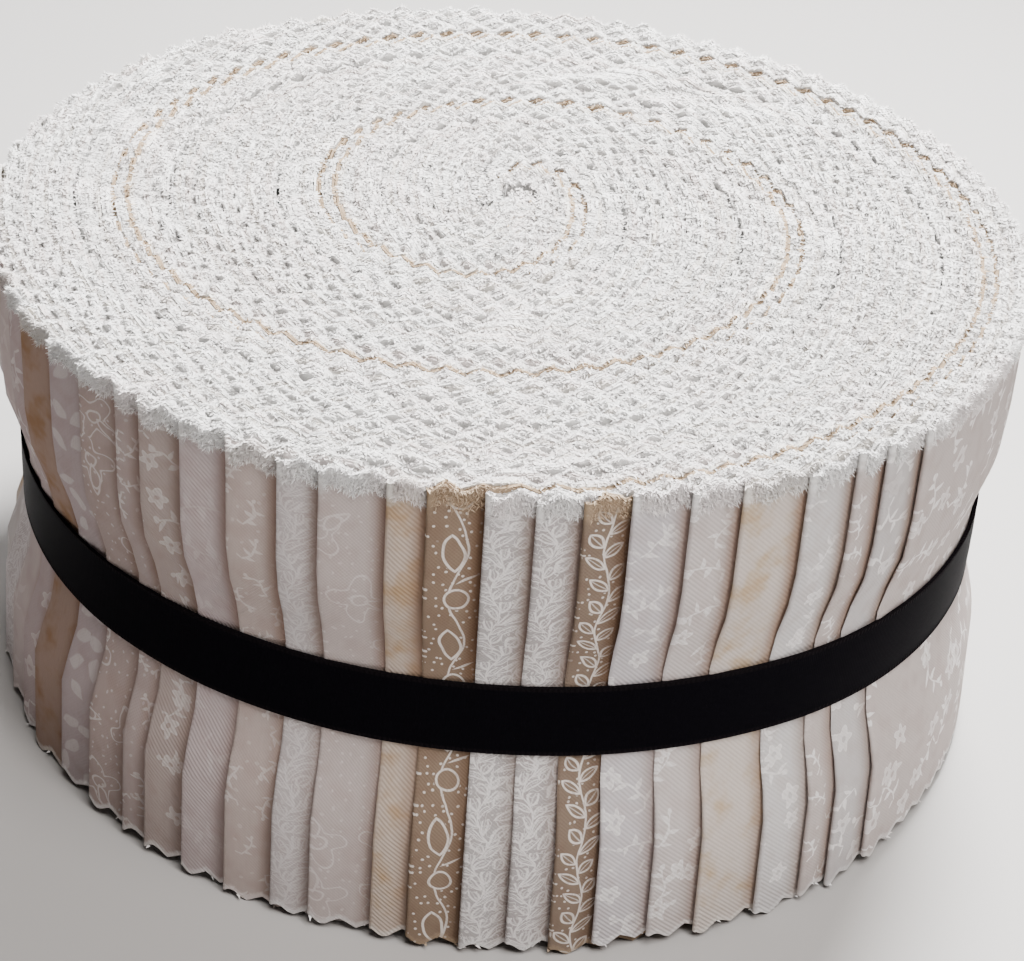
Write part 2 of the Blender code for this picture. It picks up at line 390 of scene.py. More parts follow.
def branchInk(kit, s, z, pitch, long, wide, lean, sway, line):
    # outlined leaves on a swaying stem, those on its left half a pitch above those on its right
    stem = (z * (math.tau / (pitch * 3.7))).maths("SINE") * sway
    side = (s - stem).maths("GREATER_THAN", 0.0)
    across = abs(s - stem)
    along = (z + side * (pitch / 2)) % pitch
    c, d = math.cos(lean), math.sin(lean)
    rise = along - 0.12 * pitch
    x = across * d + rise * c - long * 0.58
    y = across * c - rise * d
    leaf = leafDistance(x, y, long, wide)
    ink = inkLine(kit, leaf, line) | inkLine(kit, s - stem, line * 0.9)
    vein = inkLine(kit, y, line * 0.5) * kit.step(0.0, -0.1, leaf) * 0.7
    return ink | vein, leaf


def scatter(kit, s, z, size, seed, loose=0.75):
    # places measured from the nearest of many scattered points, each turned its own way
    place = kit.join(s / size + seed * 3.7, z / size + seed * 1.3)
    cells = kit.node("TexVoronoi", {"voronoi_dimensions": "2D"},
                     {"Vector": place, "Scale": 1.0, "Randomness": loose})
    offset = kit.node("VectorMath", {"operation": "SUBTRACT"}, [place, cells.outputs["Position"]])
    x, y, _ = kit.split(offset.outputs[0])
    chance, second, _ = kit.split(cells.outputs["Color"])
    turn = chance * math.tau
    c, d = turn.maths("COSINE"), turn.maths("SINE")
    return (x * c + y * d) * size, (y * c - x * d) * size, chance, second


def dotsInk(kit, s, z, spacing, radius, seed):
    # a round dot on most of the scattered places
    x, y, _, second = scatter(kit, s, z, spacing, seed, 0.8)
    return kit.step(radius + 0.05, radius - 0.05, length(x, y)) * kit.step(0.15, 0.25, second)


def sprigInk(kit, s, z, size, seed):
    # a bent stem with little leaves on both sides and a bud at its end
    x, y, _, second = scatter(kit, s, z, size, seed)
    half = size * 0.34
    bent = y - x * x * (0.9 / size)
    within = kit.step(half + 0.1, half - 0.1, abs(x))
    ink = inkLine(kit, bent, 0.13) * within
    step = size * 0.15
    cell = (x / step).maths("FLOOR")
    side = (cell % 2.0) * 2.0 - 1.0
    u = x - (cell + 0.5) * step - abs(bent) * 0.5
    v = bent * side - step * 0.75
    leaf = leafDistance(v, u, step * 1.7, step * 0.75)
    ink = ink | kit.step(0.08, -0.06, leaf) * within
    bud = length(x - half * 1.1, y - half * half * (0.9 / size)) - size * 0.055
    return (ink | kit.step(0.08, -0.04, bud)) * kit.step(0.05, 0.10, second)


def blossomInk(kit, s, z, size, seed):
    # a flower of five round petals with an open middle, on part of the scattered places
    x, y, _, second = scatter(kit, s, z, size, seed)
    around = y.maths("ARCTAN2", x)
    reach = (around * 5.0).maths("COSINE") * (size * 0.055) + size * 0.19
    radius = length(x, y)
    rim = radius - reach
    petal = kit.step(0.06, -0.10, rim) * 0.75
    ink = (petal | inkLine(kit, rim, 0.14)) * kit.step(size * 0.05, size * 0.07, radius)
    return ink * kit.step(0.30, 0.36, second)


def outlineInk(kit, s, z, size, seed, line):
    # large petals drawn only as rims, with a ring round the middle and one outlined leaf
    x, y, _, second = scatter(kit, s, z, size, seed, 0.6)
    around = y.maths("ARCTAN2", x)
    reach = (around * 4.0).maths("COSINE") * (size * 0.10) + size * 0.29
    radius = length(x, y)
    ink = inkLine(kit, radius - reach, line) | inkLine(kit, radius - size * 0.10, line)
    leaf = leafDistance(x - size * 0.28, y, size * 0.42, size * 0.17)
    return (ink | inkLine(kit, leaf, line)) * kit.step(0.2, 0.25, second)


def bigLeafInk(kit, s, z, seed):
    # one tall outlined leaf and one round seed head every 13 mm on a bending stem, dots between
    along = (z + 6.0) % 13.0
    stem = s - 3.3 - (z * (math.tau / 13.0)).maths("SINE") * 0.9
    leaf = leafDistance(along - 8.6, s - 2.7 + (along - 8.6) * 0.12, 4.6, 2.2)
    head = length(along - 2.6, s - 3.2) - 1.25
    up, aside = along - 5.3, s - 4.3
    twig = leafDistance(up * 0.5 + aside * 0.87, up * 0.87 - aside * 0.5, 2.8, 0.30)
    ink = inkLine(kit, leaf, 0.15) | inkLine(kit, head, 0.13) | kit.step(0.05, -0.05, twig)
    near = leaf.maths("MINIMUM", head)
    ink = ink | inkLine(kit, stem, 0.12) * kit.step(0.0, 0.1, near)
    return ink | dotsInk(kit, s, z, 1.15, 0.16, seed) * kit.step(0.2, 0.4, near)


def printInk(kit, kind, s, z, seed):
    # the white of one kind of print, nought to one
    if kind == "sprigs":
        return sprigInk(kit, s, z, 8.0, seed) | blossomInk(kit, s, z, 6.2, seed + 5) * 0.8
    if kind == "buds":
        return sprigInk(kit, s, z, 4.6, seed) | dotsInk(kit, s, z, 2.6, 0.22, seed + 2) * 0.5
    if kind == "blossoms":
        return blossomInk(kit, s, z, 5.4, seed) | sprigInk(kit, s, z, 7.0, seed + 4) * 0.85
    if kind == "ferns":
        first, _ = branchInk(kit, s - 1.4, z + seed * 3, 1.7, 2.3, 0.8, 0.75, 0.7, 0.11)
        second, _ = branchInk(kit, s - 4.6, z * -1.0 + seed * 5, 2.0, 2.6, 0.9, 0.85, 0.7, 0.12)
        curl = kit.noise(kit.join(s, z, seed), 0.9, 1.0)
        return first | second | inkLine(kit, (curl * 5.0) % 1.0 - 0.5, 0.09) * 0.8
    if kind == "leafyTan":
        ink, leaf = branchInk(kit, s - 2.6, z + seed * 2, 2.9, 2.5, 1.1, 0.82, 0.5, 0.12)
        return ink | dotsInk(kit, s, z, 1.0, 0.15, seed) * kit.step(0.15, 0.35, leaf) * 0.85
    if kind == "bigTan":
        return bigLeafInk(kit, s, z, seed)
    if kind == "outlines":
        return outlineInk(kit, s, z, 8.6, seed, 0.13) | dotsInk(kit, s, z, 1.5, 0.17, seed) * 0.8
    if kind == "ovals":
        x, y, _, _ = scatter(kit, s, z, 4.0, seed)
        leaf = leafDistance(x, y, 3.0, 1.5)
        return kit.step(0.05, -0.15, leaf) * 0.6 + inkLine(kit, leaf, 0.1) * 0.3
    return sprigInk(kit, s, z, 9.5, seed) * 0.35


cottonSettings = {
    "ink": (0.80, 0.775, 0.77), "inkOnTan": (0.79, 0.73, 0.68),
    "strongStrips": 12, "strongInk": 0.95, "softInk": 0.40,   # the front strips are printed more clearly
    "stray": 1.8, "strayOnTan": 0.6,                          # how far the print wanders, mm
    "creaseShade": (0.50, 0.385, 0.315), "creaseReach": 2.9,       # shade by the next fold
    "twill": 0.62, "plainWeave": 0.46,                        # yarn spacings, mm
}


def deepen(colour):
    # a ground colour drawn away from the white of the ink: 0.8 (c / 0.88)^1.6
    return tuple(0.80 * (c / 0.88) ** 1.6 for c in colour)


def times(colour, factors):
    # each part of a colour by its own factor, or all by one
    if not isinstance(factors, tuple):
        factors = (factors,) * 3
    return tuple(c * k for c, k in zip(colour, factors))


def printedCotton(name, kind, ground, edge, seed, strength, show):
    # printed cotton: ground with soft blotches, white ink, weave relief, and pale frayed edges
    c = cottonSettings
    onTan = kind in ("leafyTan", "bigTan")
    kit = Finish(name, Specular_IOR_Level=0.0)
    ground = deepen(ground)
    clothMap = kit.node("UVMap", {"uv_map": "cloth"}).outputs[0]
    s, z, _ = kit.split(clothMap)
    marbled = kind == "marbled"
    cloud = kit.node("TexNoise", None, {"Vector": clothMap, "Scale": 0.16 if marbled else 0.30,
                                        "Detail": 3.0 if marbled else 1.0, "Roughness": 0.6})
    blotch = Number(kit, cloud.outputs["Fac"])
    driftS, driftZ, _ = kit.split(cloud.outputs["Color"])   # the print wanders a little
    deep = times(ground, (0.80, 0.66, 0.46) if marbled else (0.93, 0.90, 0.89))
    colour = kit.mix(kit.step(0.45, 0.68, blotch), ground, deep)
    # the yarns: slubs along the strip and a fine plain or twill weave
    yarns = kit.noise(kit.join(s * 3.2, z * 0.6), 1.0, 1.0)
    if kind in ("marbled", "blossoms", "plain"):
        weave = ((s + z) * (math.tau / c["twill"])).maths("SINE")
    else:
        turns = math.tau / c["plainWeave"]
        weave = (s * turns).maths("SINE") * (z * turns).maths("SINE")
    colour = kit.mix((yarns + weave * 0.09) * 0.30, colour, times(ground, 0.68))
    if not marbled:
        stray = c["strayOnTan"] if onTan else c["stray"]
        ink = printInk(kit, kind, s + (driftS - 0.5) * stray, z + (driftZ - 0.5) * stray, seed)
        ink = ink * (kit.step(0.30, 0.50, yarns) * (0.30 * strength) + 0.70 * strength)
        colour = kit.mix(ink * 0.95, colour, c["inkOnTan"] if onTan else c["ink"])
    # painted shade: duller and browner where it goes in under the next fold, stronger above the ribbon
    creaseShade = kit.step(show - c["creaseReach"], show - 0.2, s) * (kit.step(28.0, 40.0, z) * 0.30 + 0.66)
    colour = kit.mix(creaseShade, colour, times(ground, c["creaseShade"]))
    # the cut edges: pale loose fibres, a ragged fringe down the top of the strip
    ragged = kit.noise(clothMap, 1.6, 1.0, 0.65)
    top = kit.step(2.9, 0.5, kit.attribute("fromTop") - ragged * 2.2 + 0.8)
    low = kit.step(0.7, 0.1, kit.attribute("fromLow") - ragged * 0.5) * 0.5
    fray = top | low | kit.attribute("inside")
    white = edgeColours[edge]
    pale = kit.mix(kit.step(0.3, 0.7, ragged), times(white, 0.93), white)
    colour = kit.mix(fray, colour, pale)
    return kit.surface(colour, yarns * 0.15 + 0.82, kit.bump(weave, 0.35, 0.00006))


def notchShade(kit, place):
    # painted shade: one in the notches and between the rows of teeth, below the tips
    _, _, z = kit.split(place)
    return kit.step(0.0639, 0.0631, z) * kit.step(0.050, 0.055, z)


def rawCotton(edge):
    # a strip's cut edge and, greyer, the wrong side of its cloth further down, with painted shade in the
    # notches and between the rows of teeth
    kit = Finish("raw_" + edge, Specular_IOR_Level=0.0)
    light = edgeColours[edge]
    shade = notchShade(kit, kit.node("TexCoord").outputs["Object"])
    deep = kit.step(0.7, 2.6, kit.attribute("fromTop")) | shade
    colour = kit.mix(deep, times(light, 0.97), times(light, 0.66))
    return kit.surface(colour, deep * 0.1 + 0.85)


rawFinishes = {edge: rawCotton(edge) for edge in edgeColours}


# The strips

def plyPath(plan, offset, fold, startRadius, ply, show):
    # one ply's line from the middle out to its fold, as fine points with arc length from the fold
    r = rollSettings
    puff, reach = r["puffs"][ply], min(show, r["puffLengths"][ply])
    last = plan["start"] - fold
    first = (startRadius - offset) / plan["pitch"]
    turned = np.linspace(first, last, 6000)
    x, y = windPlaces(plan, turned, offset)
    along = np.concatenate(([0], np.cumsum(np.hypot(np.diff(x), np.diff(y)))))
    fromFold = along[-1] - along
    lift = puff * (1 - smoothStep(0, reach, fromFold))
    if show < 30:
        lift = lift + ply * r["bulge"] * np.sin(math.pi * np.clip(fromFold / show, 0, 1))
    radius = np.hypot(x, y)
    return x * (1 + lift / radius), y * (1 + lift / radius), fromFold, turned


def plyColumns(path, show, toothPlace):
    # columns along a ply: every tip and notch, halves between them where it shows, more by the fold
    x, y, fromFold, turned = path
    half = rollSettings["toothPitch"] / 2
    back, places = fromFold[::-1], toothPlace[::-1]
    marks = np.arange(math.ceil(places.min() / half), math.floor(places.max() / half), 0.5) * half
    markFold = np.interp(marks, toothPlace, fromFold)
    whole = np.abs(marks / half % 1) < 0.01
    markFold = markFold[(markFold > 2.4) & (whole | (markFold < show + 0.5))]
    columns = np.sort(np.concatenate(((0.0, 0.2, 0.45, 0.8, 1.3, 1.9), markFold)))
    return (np.interp(columns, back, x[::-1]), np.interp(columns, back, y[::-1]), columns,
            np.interp(columns, back, turned[::-1]), np.interp(columns, back, places))


def pressWaist(x, y, height):
    # moves places inwards at the waist, presses the steps flat there, and flares the lower rim
    r = rollSettings
    radius = np.hypot(x, y)
    angle = np.arctan2(x, -y)
    outline = outlineRadius(angle)
    share = waistShare(angle, height)
    proud = radius - outline
    proud = proud - r["waistPress"] * share * np.maximum(proud + r["pressFrom"], 0)
    depth = np.clip(radius / outline, 0, 1.1)
    flare = r["flare"] * np.clip(1 - height / r["waistHeight"], 0, 1) * depth ** 3
    pressed = outline + proud - r["waistDepth"] * share * depth ** 4 + flare
    return x * pressed / radius, y * pressed / radius


def foldedPlies(plan, number, offsets, show):
    # the columns of a strip's inner and outer ply, each from its fold to the middle of the roll
    r = rollSettings
    own = np.random.default_rng(100 + number)
    startRadius = r["startRadius"] + own.uniform(0, r["startSpread"])
    plies = []
    for ply, offset in enumerate(offsets):
        path = plyPath(plan, offset, plan["folds"][number], startRadius, ply, show)
        # arc length of the spiral through the middle of the half bundle: teeth in a row keep step
        turned = path[3]
        toothPlace = plan["pitch"] * turned ** 2 / 2 + plan["middle"][number] * turned
        toothPlace += plan["phase"][number] + 0.6 * wobble(turned, 0.7, 40)
        plies.append(plyColumns(path, show, toothPlace))
    return plies


def joinPlies(inner, outer):
    # the inner ply from the middle to the fold, three columns round the fold's nose, the outer ply back
    x, y, _, turned, place = (np.concatenate((a[::-1], b)) for a, b in zip(inner, outer))
    fromFold = np.concatenate((-inner[2][::-1], outer[2]))
    count = len(inner[0])
    nose = np.array([[x[count - 1], y[count - 1]], [x[count], y[count]]])
    ahead = nose[0] - (x[count - 3], y[count - 3])
    ahead /= np.hypot(*ahead)
    gap = np.hypot(*(nose[1] - nose[0]))
    middle = nose.mean(axis=0)
    across = (nose[1] - nose[0]) / 2
    turns = np.radians((-55, 0, 55))
    tipX = middle[0] + across[0] * np.sin(turns) + ahead[0] * np.cos(turns) * gap * 0.55
    tipY = middle[1] + across[1] * np.sin(turns) + ahead[1] * np.cos(turns) * gap * 0.55
    x, y = np.insert(x, count, tipX), np.insert(y, count, tipY)
    fromFold = np.insert(fromFold, count, (-0.1, 0.0, 0.1))
    place = np.insert(place, count, np.linspace(place[count - 1], place[count], 5)[1:4])
    turned = np.insert(turned, count, (turned[count - 1],) * 3)
    return x, y, fromFold, turned, place


def cutEdges(plan, number, offset, turned, place):
    # heights of the two pinked edges with their teeth and wear, and how far the tips lean out of line
    r = rollSettings
    lift, seed = stripRows[number][1], 100 + number
    tooth = toothHeight(place)
    drift = r["rowDrift"] * wobble(turned * 9, 4.0, 80 + plan["row"][number])
    drift = drift + r["tipDrift"] * wobble(place, 0.9, seed + 1)
    inRow = (offset - plan["rowMiddle"][number]) / plan["rowHalf"][number]
    top = r["topFollow"] * lift + r["topRise"] + r["stripWidth"] - r["wornDepth"] * (1 - tooth)
    top = top - r["crown"] * inRow ** 2 + drift
    low = lift + r["toothDepth"] * (1 - tooth) - 0.4 * np.minimum(drift, 0)
    return top, low, r["lean"] * wobble(place, 1.3, seed + 2) * tooth


def stripFaces(used, first, last):
    # faces over the points in use: the cloth's two sides, its two cut edges and its two ends
    numbers = np.full(used.shape, -1)
    numbers[used] = np.arange(used.sum())
    blocks, kinds = [], []

    def add(faces, flip, kind, side):
        blocks.append(faces[:, ::-1] if flip else faces)
        kinds.append((kind, side))

    for side in (0, 1):
        table = numbers[side]
        edges = table[:, (0, -1)]
        add(gridFaces(edges[:first]), side == 1, "hidden", side)
        add(gridFaces(table[first:last + 1]), side == 1, "open", side)
        add(gridFaces(edges[last + 1:]), side == 1, "hidden", side)
        # one face of many corners joins a column with all its rows to one with only its two edges
        ring = [table[first - 1, 0], *table[first], table[first - 1, -1]]
        add(np.array([ring]), side == 1, "stitch", side)
        ring = [table[last, 0], table[last + 1, 0], table[last + 1, -1], *table[last, :0:-1]]
        add(np.array([ring]), side == 1, "stitch", side)
    for row in (-1, 0):
        add(gridFaces(numbers[:, :, row].T), row == 0, "edge", row)
    for column in (0, -1):
        (low, high), (lowBack, highBack) = numbers[:, column][:, (0, -1)]
        add(np.array([[low, lowBack, highBack, high]]), column == 0, "end", column)
    return blocks, kinds


def makeStrip(plan, number):
    # a strip folded in half: one long sheet out along the inner ply, round the fold and back
    r = rollSettings
    show, lift, kind, ground, edge = stripRows[number]
    fold = plan["folds"][number]
    if number == 0:
        show = r["radius"] * (plan["folds"][-1] + math.tau - fold)
    offsets = plan["inner"][number] + np.array((0.5, 1.5)) * r["ply"]
    inner, outer = foldedPlies(plan, number, offsets, show)
    x, y, fromFold, turned, place = joinPlies(inner, outer)
    isOuter = np.arange(len(x)) >= len(inner[0]) + 2
    top, low, lean = cutEdges(plan, number, offsets[isOuter.astype(int)], turned, place)
    edgeX, edgeY = np.gradient(x), np.gradient(y)
    size = np.hypot(edgeX, edgeY) + 1e-9
    normalX, normalY = -edgeY / size, edgeX / size   # to the left of the way out

    # the rows near the ribbon follow its dip
    rows = np.array(r["rows"])
    follow = 1 - smoothStep(*r["dipFade"], np.abs(rows - r["waistHeight"]))
    dip = waistLevel(np.arctan2(x, -y)) - r["waistHeight"]
    heights = np.column_stack((low, lift + rows + dip[:, None] * follow, top))
    # the worn top of each ply is a little thicker than the cloth
    half = r["cloth"] / 2 + r["wornThick"] * (heights > lift + r["wornFrom"])
    points = []
    for side in (1, -1):
        baseX = x[:, None] + normalX[:, None] * half * side
        baseY = y[:, None] + normalY[:, None] * half * side
        px, py = pressWaist(baseX, baseY, heights)
        px[:, -1] += normalX * lean
        py[:, -1] += normalY * lean
        points.append(np.stack((px, py, heights), -1))
    points = np.stack(points)   # side, column, row

    # far back, under the other strips, a column keeps only its two edges
    reach = show + r["openBack"]
    if number < r["waistStrips"]:
        reach = (plan["folds"][-1] + math.tau + r["waistReach"] - fold) * r["radius"]
    first, last = np.flatnonzero(np.abs(fromFold) < reach)[[0, -1]]
    used = np.zeros(points.shape[:3], bool)
    used[:, :, (0, -1)] = True
    used[:, first:last + 1, :] = True
    blocks, kinds = stripFaces(used, first, last)

    # values carried by the points, and the maps of the cloth and of the closing bake
    columnOf, rowOf = (np.tile(index, 2) for index in np.nonzero(used[0]))
    z = heights[columnOf, rowOf]
    inside = np.where(fromFold < -0.8, 1.0, smoothStep(show + 1.0, show + 3.0, fromFold))
    values = {"fromTop": top[columnOf] - z, "fromLow": z - low[columnOf], "inside": inside[columnOf]}
    cloth = np.column_stack((fromFold[columnOf], z - lift))
    corners = np.concatenate([block.ravel() for block in blocks])
    maps = {"cloth": cloth[corners], "OFBake": bakeMap(blocks, kinds, columnOf, rowOf, fromFold, show)}
    # the print is only worked out where it shows; the rest is raw cotton
    covered = [np.max(np.abs(fromFold[columnOf[block]]), axis=1) > show + 3.5 if state == "open"
               else np.ones(len(block), bool) for block, (state, _) in zip(blocks, kinds)]
    name = f"strip_{number + 1:02d}"
    piece = makeMesh(name, points[used], blocks, maps, values, slots=np.concatenate(covered))
    c = cottonSettings
    strength = c["strongInk"] if number < c["strongStrips"] else c["softInk"]
    finish = printedCotton(f"cotton_{number + 1:02d}", kind, ground, edge, number + 1.0, strength, show)
    piece.data.materials.append(finish)
    piece.data.materials.append(rawFinishes[edge])
    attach(piece, "root")
    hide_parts("roll")
    flatLength = (inner[2].max() + outer[2].max()) * mm
    edges = {"top": (x, y, top, normalX, normalY), "low": (x, y, low, normalX, normalY),
             "face": (fromFold > 0.2) & (fromFold < show)}
    return piece, edges, flatLength


# For each kind of face, the band it has on the map of the closing bake: its start and its height
bakeBands = {
    ("open", 0): (0.0, 0.60), ("open", 1): (0.61, 0.23),
    ("hidden", 0): (0.86, 0.034), ("hidden", 1): (0.90, 0.034),
    ("edge", 0): (0.945, 0.014), ("edge", -1): (0.965, 0.014),
    ("stitch", 0): (0.99, 0.008), ("stitch", 1): (0.98, 0.008),
    ("end", 0): (0.99, 0.008), ("end", -1): (0.98, 0.008),
}


def bakeMap(blocks, kinds, columnOf, rowOf, fromFold, show):
    # a map of its own for the closing bake: most of its width goes to the part that shows
    total = len(fromFold)
    shown = (fromFold > -0.5) & (fromFold < show + 2)
    weight = np.where(shown, 1.0, 0.03 if show < 30 else 0.01)
    width = np.concatenate(([0], np.cumsum(np.abs(np.diff(fromFold)) * (weight[1:] + weight[:-1]) / 2)))
    width /= width[-1]
    even = np.arange(total) / (total - 1)
    places = []
    for block, (kind, side) in zip(blocks, kinds):
        column, row, rows = columnOf[block], rowOf[block], rowOf.max()
        if kind == "open":
            along = width[column]
        elif kind in ("hidden", "edge"):
            along = even[column]
        else:
            along = 0.2 * (1 + (column > total / 2)) + 0.01 * (column % 2)
        if kind == "edge":
            row, rows = block >= len(columnOf) // 2, 1
        start, height = bakeBands[kind, side]
        places.append(np.stack((along, start + height * row / rows), -1))
    return np.concatenate([place.reshape(-1, 2) for place in places])


print("stage: strips")
plan = planWinding()
strips = [makeStrip(plan, number) for number in range(len(stripRows))]
print("strip lengths, metres:", " ".join(f"{strip[2]:.3f}" for strip in strips))
print("triangles:", sum(sum(len(p.vertices) - 2 for p in strip[0].data.polygons) for strip in strips))


# Loose fibres on the cut edges

fluffSettings = {
    "topPieces": 3, "topFibres": 330000, "lowFibres": 20000, "rimFibres": 95000,
    "width": 0.34, "length": (0.3, 0.8), "rimLength": (0.3, 0.95), "tipHeight": 63.9,
    # fibres across the hollows in the roll's middle: place, spread and share of the fibres
    "bridges": (((0.9, 0.4), (1.2, 2.7), 0.0040), ((-4.4, 6.5), (0.5, 2.4), 0.0012)),
    "bridgeHeight": (62.9, 63.7),
    # how the fibres lie: spread along and across the edge, and their slope, upwards positive
    "along": 0.7, "across": 1.0, "slope": (-0.25, 0.20), "rimSlope": (-1.0, 0.5), "rimOut": (0.2, 1.1),
    "sunk": 0.30, "proud": 0.14, "rimSunk": 2.5, "rimProud": 0.15, "tilt": 0.4, "widths": (0.6, 1.4),
    "tuftSize": 1.1, "tuftGrey": 0.28, "blushSize": 8.0, "tanShare": 0.35,
    "warmth": {"white": 0.0, "cream": 0.16, "pink": 0.14, "tan": 1.0},   # by the strip's cut edge
    "colours": ((0.84, 0.838, 0.835), (0.83, 0.795, 0.79), (0.52, 0.505, 0.495), (0.46, 0.355, 0.255)),
}


def edgePlaces(which, faceOnly):
    # all the edge columns of the strips: place, step to the next one, sideways, strip number
    starts, steps, normals, owners = [], [], [], []
    for number, (_, edges, _) in enumerate(strips):
        x, y, z, nx, ny = edges[which]
        px, py = pressWaist(x, y, z)
        place = np.column_stack((px, py, z))
        keep = edges["face"][:-1] if faceOnly else np.ones(len(x) - 1, bool)
        starts.append(place[:-1][keep])
        steps.append(np.diff(place, axis=0)[keep])
        normals.append(np.column_stack((nx, ny, 0 * nx))[:-1][keep])
        owners.append(np.full(keep.sum(), number))
    return tuple(np.concatenate(part) for part in (starts, steps, normals, owners))


def outwards(places):
    return unit(places * np.array((1, 1, 0)))


def unit(vectors):
    return vectors / np.linalg.norm(vectors, axis=1, keepdims=True)


def makeFibres(name, which, count, lengths, seed, faceOnly=False, up=1.0):
    # each fibre is a narrow pointed blade, turned more or less flat to the fluff's surface
    f = fluffSettings
    own = np.random.default_rng(seed)
    isTop = which == "top" and not faceOnly
    starts, steps, normals, owners = edgePlaces(which, faceOnly)
    reach = np.linalg.norm(steps, axis=1)
    tan = np.array([row[4] == "tan" for row in stripRows])[owners]
    share = reach * np.where(tan, f["tanShare"], 1.0)
    pick = own.choice(len(starts), count, p=share / share.sum())
    root = starts[pick] + steps[pick] * own.random((count, 1))
    sunk = own.uniform(0, 1, count)
    if faceOnly:
        root[:, 2] -= up * (f["rimSunk"] * sunk ** 2 - f["rimProud"])
    else:
        root[:, 2] -= up * (f["sunk"] * sunk - f["proud"])
    if isTop:
        for middle, spread, part in f["bridges"]:
            over = own.random(count) < part
            root[over, :2] = own.normal(middle, spread, (over.sum(), 2))
            root[over, 2] = own.uniform(*f["bridgeHeight"], over.sum())
    along, across, high = unit(steps[pick]), normals[pick], np.array((0, 0, up))
    way = along * own.normal(0, f["along"], (count, 1))
    if faceOnly:
        way = way + outwards(root) * own.uniform(*f["rimOut"], (count, 1))
        way = way + high * own.uniform(*f["rimSlope"], (count, 1))
        facing = outwards(root) * 0.4 + high
    else:
        way = way + across * own.normal(0, f["across"], (count, 1))
        way = way + high * own.uniform(*f["slope"], (count, 1))
        facing = np.broadcast_to(high, (count, 3))
    way = unit(way)
    flat = unit(np.cross(way, unit(facing + own.normal(0, f["tilt"], (count, 3)))))
    flat *= f["width"] / (3.6 if faceOnly else 2) * own.uniform(*f["widths"], (count, 1))
    tip = root + way * own.uniform(*lengths, (count, 1))
    points = np.stack((root - flat, root + flat, tip), 1).reshape(-1, 3)
    points[:, 2] = np.clip(points[:, 2], 0.02, cadBounds[1][2] / mm + 0.6)
    blocks = [np.arange(count * 3).reshape(-1, 3)]
    warmth = np.array([f["warmth"][row[4]] for row in stripRows])
    # tufts a millimetre wide lie greyer, and the notches and the valleys between the rows get painted
    # shade
    tufts = smoothStep(0.45, 0.15, patches(root[:, 0], root[:, 1], f["tuftSize"], 77)) * f["tuftGrey"]
    deep = smoothStep(f["tipHeight"], f["tipHeight"] - 0.8, root[:, 2]) * isTop
    # painted light and shade: the notch shade is weaker at the front, where the top catches more light,
    # and stronger at the right
    deep *= 0.56 + 0.24 * smoothStep(10, 50, root[:, 0]) - 0.24 * smoothStep(-10, -50, root[:, 1])
    blush = smoothStep(0.35, 0.65, patches(root[:, 0], root[:, 1], f["blushSize"], 78))
    # painted light: the rim fibres on the side take little of the grey, so they stay as pale as the lit
    # top
    share, chance = (0.3, 0.08) if faceOnly else (1.0, 0.2)
    grey = np.maximum(tufts, deep) * share + chance * own.random(count)
    values = {"grey": np.repeat(grey, 3), "blush": np.repeat(blush, 3),
              "warmth": np.repeat(warmth[owners[pick]], 3)}
    piece = makeMesh(name, points, blocks, values=values, sharp=0)
    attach(piece, "root")
    return piece


def looseFibres():
    # raw cotton fibre: white, in places a little pinker, greyer by tufts and by painted shade in the
    # notches, brown off the tan strips
    kit = Finish("loose_fibre", Specular_IOR_Level=0.0)
    grey = kit.attribute("grey")
    white, pink, dull, brown = fluffSettings["colours"]
    colour = kit.mix(kit.attribute("blush"), white, pink)
    colour = kit.mix(grey, colour, dull)
    colour = kit.mix(kit.attribute("warmth"), colour, brown)
    return kit.surface(colour, grey * 0.1 + 0.85)


def makeFluff():
    # three pieces over the top, one under the roll, and one at the upper rim of its side
    f = fluffSettings
    finish = looseFibres()
    share = f["topFibres"] // f["topPieces"]
    pieces = [makeFibres(f"top_fluff_{i + 1}", "top", share, f["length"], 300 + i)
              for i in range(f["topPieces"])]
    pieces.append(makeFibres("low_fluff", "low", f["lowFibres"], f["length"], 320, up=-1.0))
    pieces.append(makeFibres("rim_fluff", "top", f["rimFibres"], f["rimLength"], 340, faceOnly=True))
    for piece in pieces:
        piece.data.materials.append(finish)
    return pieces


print("stage: loose fibres")
print("fibre triangles:", sum(len(piece.data.polygons) for piece in makeFluff()))


# The ribbon

ribbonSettings = {
    "flatWidth": 10.0, "thickness": 0.34, "clear": 0.12,
    "lapStart": 158.0, "lapAngle": 17.0, "lapRamp": 12.0,
    "columns": 720, "rows": 14, "slack": 0.05, "edgeRib": 0.05,
    "proud": 0.25,            # how far the steps under it stand out
    "bow": 0.10, "wander": 0.18,
}


